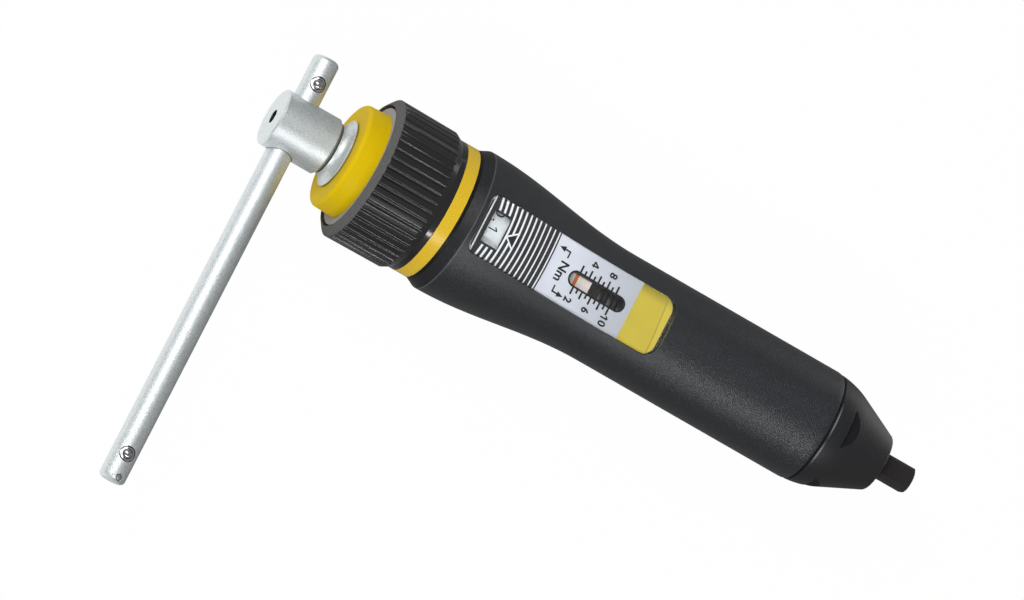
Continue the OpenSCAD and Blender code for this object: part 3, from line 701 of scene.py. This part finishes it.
def label_print():
    """Yellow end, silver scale and a striped field with a dark frame round the digits."""
    material, tree, shader = new_material("label_print")
    along, side, _ = object_axes(tree)
    across = magnitude(tree, side)
    off_axis = math_node(tree, "POWER", math_node(tree, "DIVIDE", across, label_half), 2)
    fleck = grain(tree, FLECK)

    toward_digits = spread(tree, along, 0, 1, (YELLOW_END, SILVER_END))
    toward_digits = math_node(tree, "ADD", times(tree, fleck, FLECK_IN_SILVER), toward_digits)
    colour = mixed_colour(tree, toward_digits, *SILVER)
    field, in_field = striped_field(tree, along, across, off_axis)
    colour = mixed_colour(tree, in_field, colour, field)
    yellow = yellow_end(tree, along, side, off_axis, fleck)
    colour = mixed_colour(tree, below(tree, along, YELLOW_END), colour, yellow)

    # The walls of the slot are as dark as the line round it
    past = magnitude(tree, minus(tree, along, SLOT_END - SLOT_LEN / 2))
    past = largest(tree, minus(tree, past, (SLOT_LEN - SLOT_W) / 2), 0.0)
    in_slot = below(tree, distance(tree, past, across), SLOT_W / 2 + 2 * SLOT_LIP)
    colour = mixed_colour(tree, in_slot, colour, INK_COLOUR)
    tree.links.new(colour, shader.inputs["Base Color"])
    shader.inputs["Roughness"].default_value = 0.45
    shader.inputs["Metallic"].default_value = 0.15
    return material


def clear_lens():
    """Clear plastic that lets light through to the print."""
    material, tree, shader = new_material("clear_lens")
    haze = grain(tree, size=4 * MM)
    tree.links.new(spread(tree, haze, 0.0, 0.01), shader.inputs["Roughness"])
    shader.inputs["Base Color"].default_value = (1, 1, 1, 1)
    shader.inputs["Transmission Weight"].default_value = 1.0
    shader.inputs["IOR"].default_value = 1.49
    shader.inputs["Specular IOR Level"].default_value = 0.25

    # The moulded edge at the handle end and the corners beside it get a pale diffuse frost, a painted
    # highlight of these edges
    along, across, _ = object_axes(tree)
    at_end = above(tree, along, label_end - LENS_EDGE)
    in_corner = times(tree, above(tree, magnitude(tree, across), label_half - LENS_CORNER),
                      above(tree, along, BORDER_LINE))
    frost_highlight_share = largest(tree, times(tree, at_end, EDGE_FROST_HIGHLIGHT), times(tree, in_corner, CORNER_FROST_HIGHLIGHT))
    frost = tree.nodes.new("ShaderNodeBsdfDiffuse")
    frost.inputs["Color"].default_value = linear(205, 207, 210)
    plastic = mixed_shader(tree, frost_highlight_share, shader.outputs["BSDF"], frost.outputs["BSDF"])
    rays = tree.nodes.new("ShaderNodeLightPath")
    through = tree.nodes.new("ShaderNodeBsdfTransparent")
    surface = mixed_shader(tree, rays.outputs["Is Shadow Ray"], plastic, through.outputs["BSDF"])
    tree.links.new(surface, tree.nodes["Material Output"].inputs["Surface"])
    return material


def all_finishes():
    """One material for each slot in the record, and the ink of the marks."""
    finishes = {name: grained(name, **look) for name, look in PLAIN_FINISHES.items()}
    finishes["grip_plastic"] = grip_plastic()
    finishes["nose_black"] = nose_black()
    finishes["knob_plastic"] = knob_plastic()
    finishes["satin_steel"] = satin_steel()
    finishes["ball_steel"] = ball_steel()
    finishes["clear_lens"] = clear_lens()
    finishes["label_print"] = label_print()
    return finishes


def flat_patch(x0, x1, y0, y1):
    """Rectangle above the label, ready to be laid on it."""
    bpy.ops.object.select_all(action="DESELECT")
    middle = ((x0 + x1) / 2, (y0 + y1) / 2, PRINT_HEIGHT)
    bpy.ops.mesh.primitive_plane_add(size=1, location=middle)
    patch = bpy.context.object
    patch.scale = (abs(x1 - x0), abs(y1 - y0), 1)
    apply_place()
    return patch


def flat_wedge(x_base, x_tip, y, half_w):
    """Triangle that points along X."""
    wedge = flat_patch(x_base, x_tip, y - half_w, y + half_w)
    edit(wedge)
    select_vertices(wedge, lambda co: abs(co.x - x_tip) < NEAR)
    bpy.ops.mesh.merge(type="CENTER")
    bpy.ops.object.mode_set(mode="OBJECT")
    return wedge


def flat_stroke(start, end, width):
    """Straight line of ink between two points."""
    run = Vector(end) - Vector(start)
    stroke = flat_patch(-run.length / 2, run.length / 2, -width / 2, width / 2)
    stroke.rotation_euler = (0, 0, math.atan2(run.y, run.x))
    stroke.location = ((Vector(start) + Vector(end)) / 2).to_3d()
    apply_place()
    return stroke


def flat_four(x, y, height, width):
    """Figure four from three strokes, which reads as the other numbers do."""
    y_stem = y + height * 0.15
    x_bar = x + height * 0.2
    bar_half = height * 0.37
    top = (x - height / 2, y_stem)
    foot = (x + height / 2, y_stem)
    left = (x_bar, y - bar_half)
    right = (x_bar, y + bar_half)
    return [flat_stroke(*ends, width) for ends in ((top, foot), (left, right), (top, left))]


def flat_one(x, y, height, width):
    """Figure one with its flag, from two strokes."""
    top = (x - height / 2, y)
    foot = (x + height / 2, y)
    flag = (x - height * 0.2, y - height * 0.34)
    return [flat_stroke(*ends, width) for ends in ((top, foot), (top, flag))]


def flat_text(words, size, bold):
    """Letters as a flat mesh at the origin, which read along +Y with their tops towards the drive."""
    bpy.ops.object.select_all(action="DESELECT")
    bpy.ops.object.text_add()
    text = bpy.context.object
    text.data.body = words
    text.data.size = size
    text.data.offset = bold
    text.data.align_x = "CENTER"
    text.data.align_y = "CENTER"
    text.data.resolution_u = 4
    bpy.ops.object.convert(target="MESH")
    text.rotation_euler = (0, 0, math.radians(90))
    apply_place()
    return text


def move(piece, x, y, z):
    activate(piece)
    piece.location = (x, y, z)
    apply_place()
    return piece


def slice_along(piece, x0, x1, pitch):
    """Cut a flat piece across at even steps, so that it can follow the label's curve."""
    edit(piece)
    count = int((x1 - x0) / pitch)
    for i in range(1, count + 1):
        x = x0 + i * (x1 - x0) / (count + 1)
        bpy.ops.object.mode_set(mode="EDIT")
        bpy.ops.mesh.select_all(action="SELECT")
        bpy.ops.mesh.bisect(plane_co=(x, 0, PRINT_HEIGHT), plane_no=(1, 0, 0))
    bpy.ops.object.mode_set(mode="OBJECT")


def lay_on(piece, carrier, thickness):
    """Drop a flat piece onto a node and give it the thickness of ink."""
    apply_modifier(piece, "SHRINKWRAP", target=carrier, wrap_method="PROJECT", use_project_z=True,
                   use_negative_direction=True, use_positive_direction=False)
    apply_modifier(piece, "SOLIDIFY", thickness=thickness, offset=1.0)


def mark_x(value):
    """Where the pointer's line stands when the setting is value."""
    low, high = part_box("pointer_line")
    return (low[0] + high[0]) / 2 + (REST_READING - value) * LEAD / UNITS_PER_TURN


def scale_ticks():
    """Long and short ticks on both sides of the slot."""
    ticks = []
    for value in range(LOWEST_MARK, HIGHEST_MARK + 1):
        x = mark_x(value)
        length = LONG_TICK if value % 2 == 0 else SHORT_TICK
        for side in (-1, 1):
            inner = side * TICK_START
            ticks.append(flat_patch(x - TICK_W / 2, x + TICK_W / 2, inner, inner + side * length))
    return joined(ticks)


def slot_outline():
    """Dark printed line round the slot."""
    radius = SLOT_W / 2
    reach = SLOT_LEN / 2 - radius
    centre = SLOT_END - SLOT_LEN / 2
    bpy.ops.object.select_all(action="DESELECT")
    bpy.ops.mesh.primitive_circle_add(vertices=48, radius=radius + SLOT_EDGE, fill_type="NGON",
                                      location=(0, 0, PRINT_HEIGHT))
    outline = bpy.context.object
    apply_place()
    for side in (-1, 1):
        edit(outline)
        select_vertices(outline, lambda co: co.x * side > NEAR)
        bpy.ops.transform.translate(value=(side * reach, 0, 0))
        bpy.ops.object.mode_set(mode="OBJECT")
    edit(outline, "FACE")
    bpy.ops.object.mode_set(mode="EDIT")
    bpy.ops.mesh.select_all(action="SELECT")
    bpy.ops.mesh.inset(thickness=SLOT_EDGE - SLOT_LIP)
    bpy.ops.mesh.delete(type="FACE")
    bpy.ops.object.mode_set(mode="OBJECT")
    move(outline, centre, 0, 0)
    slice_along(outline, centre - SLOT_LEN / 2, centre + SLOT_LEN / 2, pitch=1 * MM)
    return outline


def scale_numbers():
    """Numbers, in turn on the two sides of the slot."""
    height = NUMBER_SIZE * FIGURE_HEIGHT
    numbers = []
    for value in range(LOWEST_MARK, HIGHEST_MARK + 1, 2):
        x = mark_x(value)
        y = NUMBER_Y if value % 4 == 2 else -NUMBER_Y
        if value == 4:
            numbers += flat_four(x, y, height, NUMBER_STROKE)
        elif value == 10:
            zero = flat_text("0", NUMBER_SIZE, BOLD)
            numbers += flat_one(x, y - TEN_HALF, height, NUMBER_STROKE)
            numbers.append(move(zero, x, y + TEN_HALF, PRINT_HEIGHT))
        else:
            number = flat_text(str(value), NUMBER_SIZE, BOLD)
            numbers.append(move(number, x, y, PRINT_HEIGHT))
    return joined(numbers)


def bent_arrow(x, y, way):
    """Arrow that leaves the unit's letters sideways and turns along the tool."""
    tail = 1.7 * MM
    run = 1.5 * MM
    line = 0.42 * MM
    head = 1.8 * MM
    half_w = 0.75 * MM
    y_turn = y + way * tail
    x_head = x - way * run
    return [flat_patch(x - line / 2, x + line / 2, y, y_turn + way * line / 2),
            flat_patch(x, x_head, y_turn - line / 2, y_turn + line / 2),
            flat_wedge(x_head, x_head - way * head, y_turn, half_w)]


def unit_marks():
    """Newton metres, with one arrow towards the digits and one towards the scale."""
    unit = move(flat_text("Nm", UNIT_SIZE, BOLD), UNIT_X, UNIT_Y, PRINT_HEIGHT)
    to_digits = bent_arrow(UNIT_X, y=-3.4 * MM, way=-1)
    to_scale = bent_arrow(UNIT_X - 0.3 * MM, y=4.0 * MM, way=1)
    return joined([unit] + to_digits + to_scale)


def digit_pointer():
    """Triangle that points at the digits: a white one and a smaller dark one on it."""
    outline = 0.42 * MM
    half_w = 2.65 * MM

    # It spans the last three of the stripes that run right across
    x_tip = STRIPE_FIRST + (STRIPES_ACROSS - 1) * STRIPE_PITCH + outline / 2
    x_base = STRIPE_FIRST + (STRIPES_ACROSS - 3) * STRIPE_PITCH - outline / 2
    slope = half_w / (x_tip - x_base)
    x_dark = x_tip - outline / math.sin(math.atan(slope))
    white = flat_wedge(x_base, x_tip, 0, half_w)
    dark = flat_wedge(x_base + outline, x_dark, 0, slope * (x_dark - x_base - outline))
    return white, dark


def print_scale(finishes):
    """All marks on the label, the dark triangle with double thickness so that it covers the white."""
    label = nodes["scale_label"]
    white, dark = digit_pointer()
    marks = {"scale_ticks": scale_ticks(), "slot_outline": slot_outline(),
             "scale_numbers": scale_numbers(), "unit_marks": unit_marks(), "digit_pointer_dark": dark}
    for name, mark in marks.items():
        lay_on(mark, label, INK_T * (2 if mark is dark else 1))
        settle(mark, name, "housing", finishes["ink"])
    lay_on(white, label, INK_T)
    settle(white, "digit_pointer_white", "housing", finishes["white_ink"])


def print_drum(finishes):
    """Tenths round the drum, one string for each second lock hole."""
    drum = nodes["digit_drum"]
    digits = []
    for i in range(DRUM_MARKS):
        figures = f"{DRUM_FIRST + i * DRUM_STEP:.1f}"
        strokes = []
        for place, figure in enumerate(figures):
            y = (place - 2) * DRUM_SPACE
            if figure == "1":
                strokes += flat_one(DRUM_X, y, DRUM_SIZE * FIGURE_HEIGHT, DRUM_STROKE)
            else:
                digit = flat_text(figure, DRUM_SIZE, DRUM_BOLD)
                strokes.append(move(digit, DRUM_X, y, PRINT_HEIGHT))
        mark = joined(strokes)
        lay_on(mark, drum, INK_T)
        mark.rotation_euler = (-i * 2 * math.pi / DRUM_MARKS, 0, 0)
        activate(mark)
        apply_place()
        digits.append(mark)
    settle(joined(digits), "drum_digits", "knob", finishes["ink"])


def node_copy(name):
    """Copy of a node's mesh with its triangles joined up."""
    activate(nodes[name])
    bpy.ops.object.duplicate()
    piece = bpy.context.object
    piece.parent = None
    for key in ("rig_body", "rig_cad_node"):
        if key in piece:
            del piece[key]
    edit(piece)
    bpy.ops.object.mode_set(mode="EDIT")
    bpy.ops.mesh.select_all(action="SELECT")
    bpy.ops.mesh.remove_doubles(threshold=0.0005 * MM)
    bpy.ops.mesh.dissolve_limited(angle_limit=math.radians(0.3))
    bpy.ops.object.mode_set(mode="OBJECT")
    return piece


def scale_lens(finishes):
    """Lens with rounded edges, held a hair above the print."""
    facing_down = -0.5
    lens = node_copy("scale_lens")
    edit(lens, "FACE")
    for face in lens.data.polygons:
        face.select = face.normal.z < facing_down
    bpy.ops.object.mode_set(mode="EDIT")
    bpy.ops.transform.translate(value=(0, 0, LENS_GAP))
    bpy.ops.object.mode_set(mode="OBJECT")
    apply_modifier(lens, "BEVEL", width=LENS_ROUND, segments=4, limit_method="ANGLE",
                   angle_limit=math.radians(50), harden_normals=False)
    activate(lens)
    bpy.ops.object.shade_smooth_by_angle(angle=math.radians(40))
    settle(lens, "clear_scale_lens", "housing", finishes["clear_lens"])
    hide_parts("scale_lens")


def squeezed_springs(finishes):
    """Smooth-shaded copies of the springs, put in place of their nodes."""
    for name, joint, axis, held in SPRINGS:
        spring = node_copy(name)
        activate(spring)
        bpy.ops.object.shade_smooth_by_angle(angle=math.radians(50))
        settle(spring, f"{name}_coil", nodes[name]["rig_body"], finishes["spring_steel"])
        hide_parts(name)
        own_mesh(spring)


def paint_nodes(finishes):
    for part in frame["record"]["subparts"]:
        mesh = nodes[part["node"]].data
        mesh.materials.clear()
        mesh.materials.append(finishes[part["material_slot"]])


def studio_white():
    """Pale surface that looks white to the camera and keeps the tool's shadow.

    Metal, glass and gloss mirror it too: bright behind the handle and ahead of the nose, dim elsewhere.
    """
    material, tree, shader = new_material("studio_floor")
    tone = mixed_colour(tree, grain(tree, FLOOR_MOTTLE), *FLOOR_COLOURS)
    tree.links.new(tone, shader.inputs["Base Color"])
    shader.inputs["Roughness"].default_value = 0.9
    shader.inputs["Specular IOR Level"].default_value = 0.1
    rays = tree.nodes.new("ShaderNodeLightPath")
    white = tree.nodes.new("ShaderNodeEmission")
    seen = times(tree, rays.outputs["Is Camera Ray"], FLOOR_GLOW)
    surface = mixed_shader(tree, seen, shader.outputs["BSDF"], white.outputs["Emission"])

    along, across, _ = object_axes(tree)
    before_nose = spread(tree, along, 1, 0, MIRROR_FRONT)
    ahead = times(tree, before_nose, spread(tree, across, 1, 0, MIRROR_SIDE))
    bright = largest(tree, spread(tree, along, 0, 1, MIRROR_EDGE), ahead)
    mirrored = tree.nodes.new("ShaderNodeEmission")
    tree.links.new(spread(tree, bright, *MIRROR_LEVELS), mirrored.inputs["Strength"])
    any_mirror = largest(tree, rays.outputs["Is Glossy Ray"], rays.outputs["Is Transmission Ray"])
    surface = mixed_shader(tree, any_mirror, surface, mirrored.outputs["Emission"])

    # A camera under the floor looks through it
    face = tree.nodes.new("ShaderNodeNewGeometry")
    clear = tree.nodes.new("ShaderNodeBsdfTransparent")
    under = times(tree, face.outputs["Backfacing"], rays.outputs["Is Camera Ray"])
    surface = mixed_shader(tree, under, surface, clear.outputs["BSDF"])
    tree.links.new(surface, tree.nodes["Material Output"].inputs["Surface"])
    return material


def floor():
    bpy.ops.object.select_all(action="DESELECT")
    bpy.ops.mesh.primitive_plane_add(size=FLOOR_SIZE, location=(0, 0, cad_box[0][2]))
    plane = bpy.context.object
    plane.name = "floor"
    plane.data.materials.append(studio_white())


def area_light(name, place, target, size_x, size_y, energy):
    data = bpy.data.lights.new(name, "AREA")
    data.shape = "RECTANGLE"
    data.size = size_x
    data.size_y = size_y
    data.energy = energy
    light = bpy.data.objects.new(name, data)
    scene.collection.objects.link(light)
    light.location = place
    light.rotation_euler = (Vector(target) - Vector(place)).to_track_quat("-Z", "Y").to_euler()


def studio_light():
    """A large lamp on the handle's side, a narrow one along the other side, and a white sky."""
    middle = (0.1, 0, 0)
    area_light("handle_side_softbox", place=(0.8, -0.36, 0.96), target=middle, size_x=0.7, size_y=1.1,
               energy=8.5)
    area_light("long_side_strip", place=(0.12, 0.91, 0.79), target=middle, size_x=1.2, size_y=0.12,
               energy=5.4)
    world = bpy.data.worlds.new("studio")
    scene.world = world
    world.use_nodes = True
    tree = world.node_tree
    sky = tree.nodes["Background"]
    sky.inputs["Color"].default_value = (1, 1, 1, 1)
    rays = tree.nodes.new("ShaderNodeLightPath")
    tree.links.new(largest(tree, rays.outputs["Is Camera Ray"], SKY_LEVEL), sky.inputs["Strength"])


def photo_camera():
    """Camera far off, with the hub and the axis where the photograph has them."""
    toward = Vector((math.sin(CAMERA_LEAN), math.cos(CAMERA_LEAN) * math.sin(TOOL_ROLL),
                     math.cos(CAMERA_LEAN) * math.cos(TOOL_ROLL)))
    along = (Vector((-1, 0, 0)) + toward.x * toward).normalized()
    across = along.cross(toward)
    right = math.cos(AXIS_DROP) * along - math.sin(AXIS_DROP) * across
    down = math.sin(AXIS_DROP) * along + math.cos(AXIS_DROP) * across
    step = MM / PIXELS_PER_MM
    centre = (Vector((HUB_PIXEL_X, 0, 0)) + right * (IMAGE_W / 2 - HUB_PIXEL[0]) * step
              + down * (IMAGE_H / 2 - HUB_PIXEL[1]) * step)
    data = bpy.data.cameras.new("photo_camera")
    data.sensor_width = SENSOR_W
    data.lens = PIXELS_PER_MM / MM * CAMERA_DISTANCE * SENSOR_W / IMAGE_W
    camera = bpy.data.objects.new("photo_camera", data)
    scene.collection.objects.link(camera)
    turn = Matrix((right, -down, toward)).transposed()
    camera.matrix_world = Matrix.Translation(centre + toward * CAMERA_DISTANCE) @ turn.to_4x4()
    scene.camera = camera


finishes = all_finishes()
paint_nodes(finishes)
print_scale(finishes)
print_drum(finishes)
scale_lens(finishes)
squeezed_springs(finishes)
floor()
studio_light()
photo_camera()
